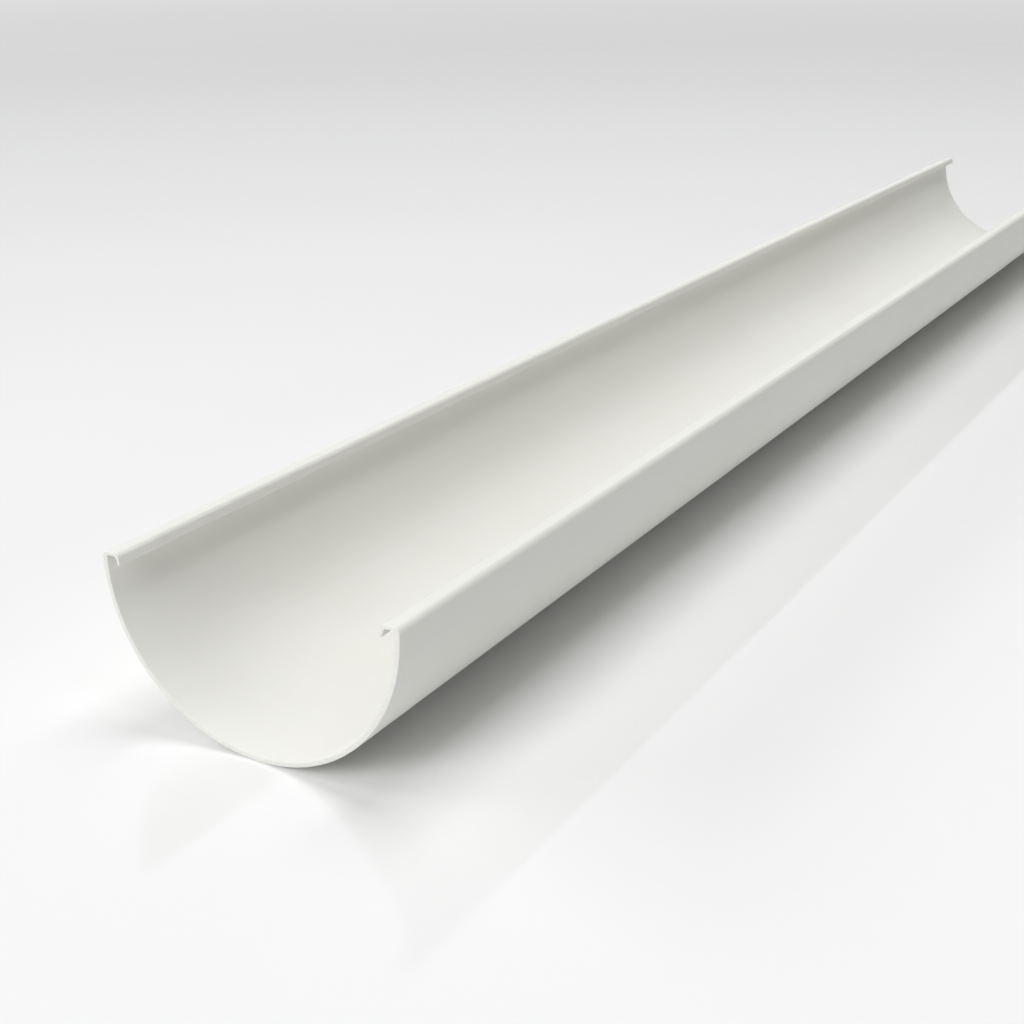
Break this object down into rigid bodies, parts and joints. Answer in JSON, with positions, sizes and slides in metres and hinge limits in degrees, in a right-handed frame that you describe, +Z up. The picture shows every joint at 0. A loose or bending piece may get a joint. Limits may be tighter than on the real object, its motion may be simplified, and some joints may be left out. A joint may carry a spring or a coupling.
{
  "type": "gutter section",
  "caption": "Straight half-round plastic rainwater gutter, open at both square-cut ends, with an inward-hooked lip along each top edge.",
  "frame": {"origin": "lowest point of the round back, at mid-length and mid-width", "axes": "+X along the gutter, +Y across it towards one lip, +Z up out of the open trough"},
  "size_m": [1, 0.125, 0.0648],
  "materials": {
    "white_pvc": "satin"
  },
  "bodies": {
    "root": {"gutter_section": "white_pvc"}
  },
  "joints": []
}
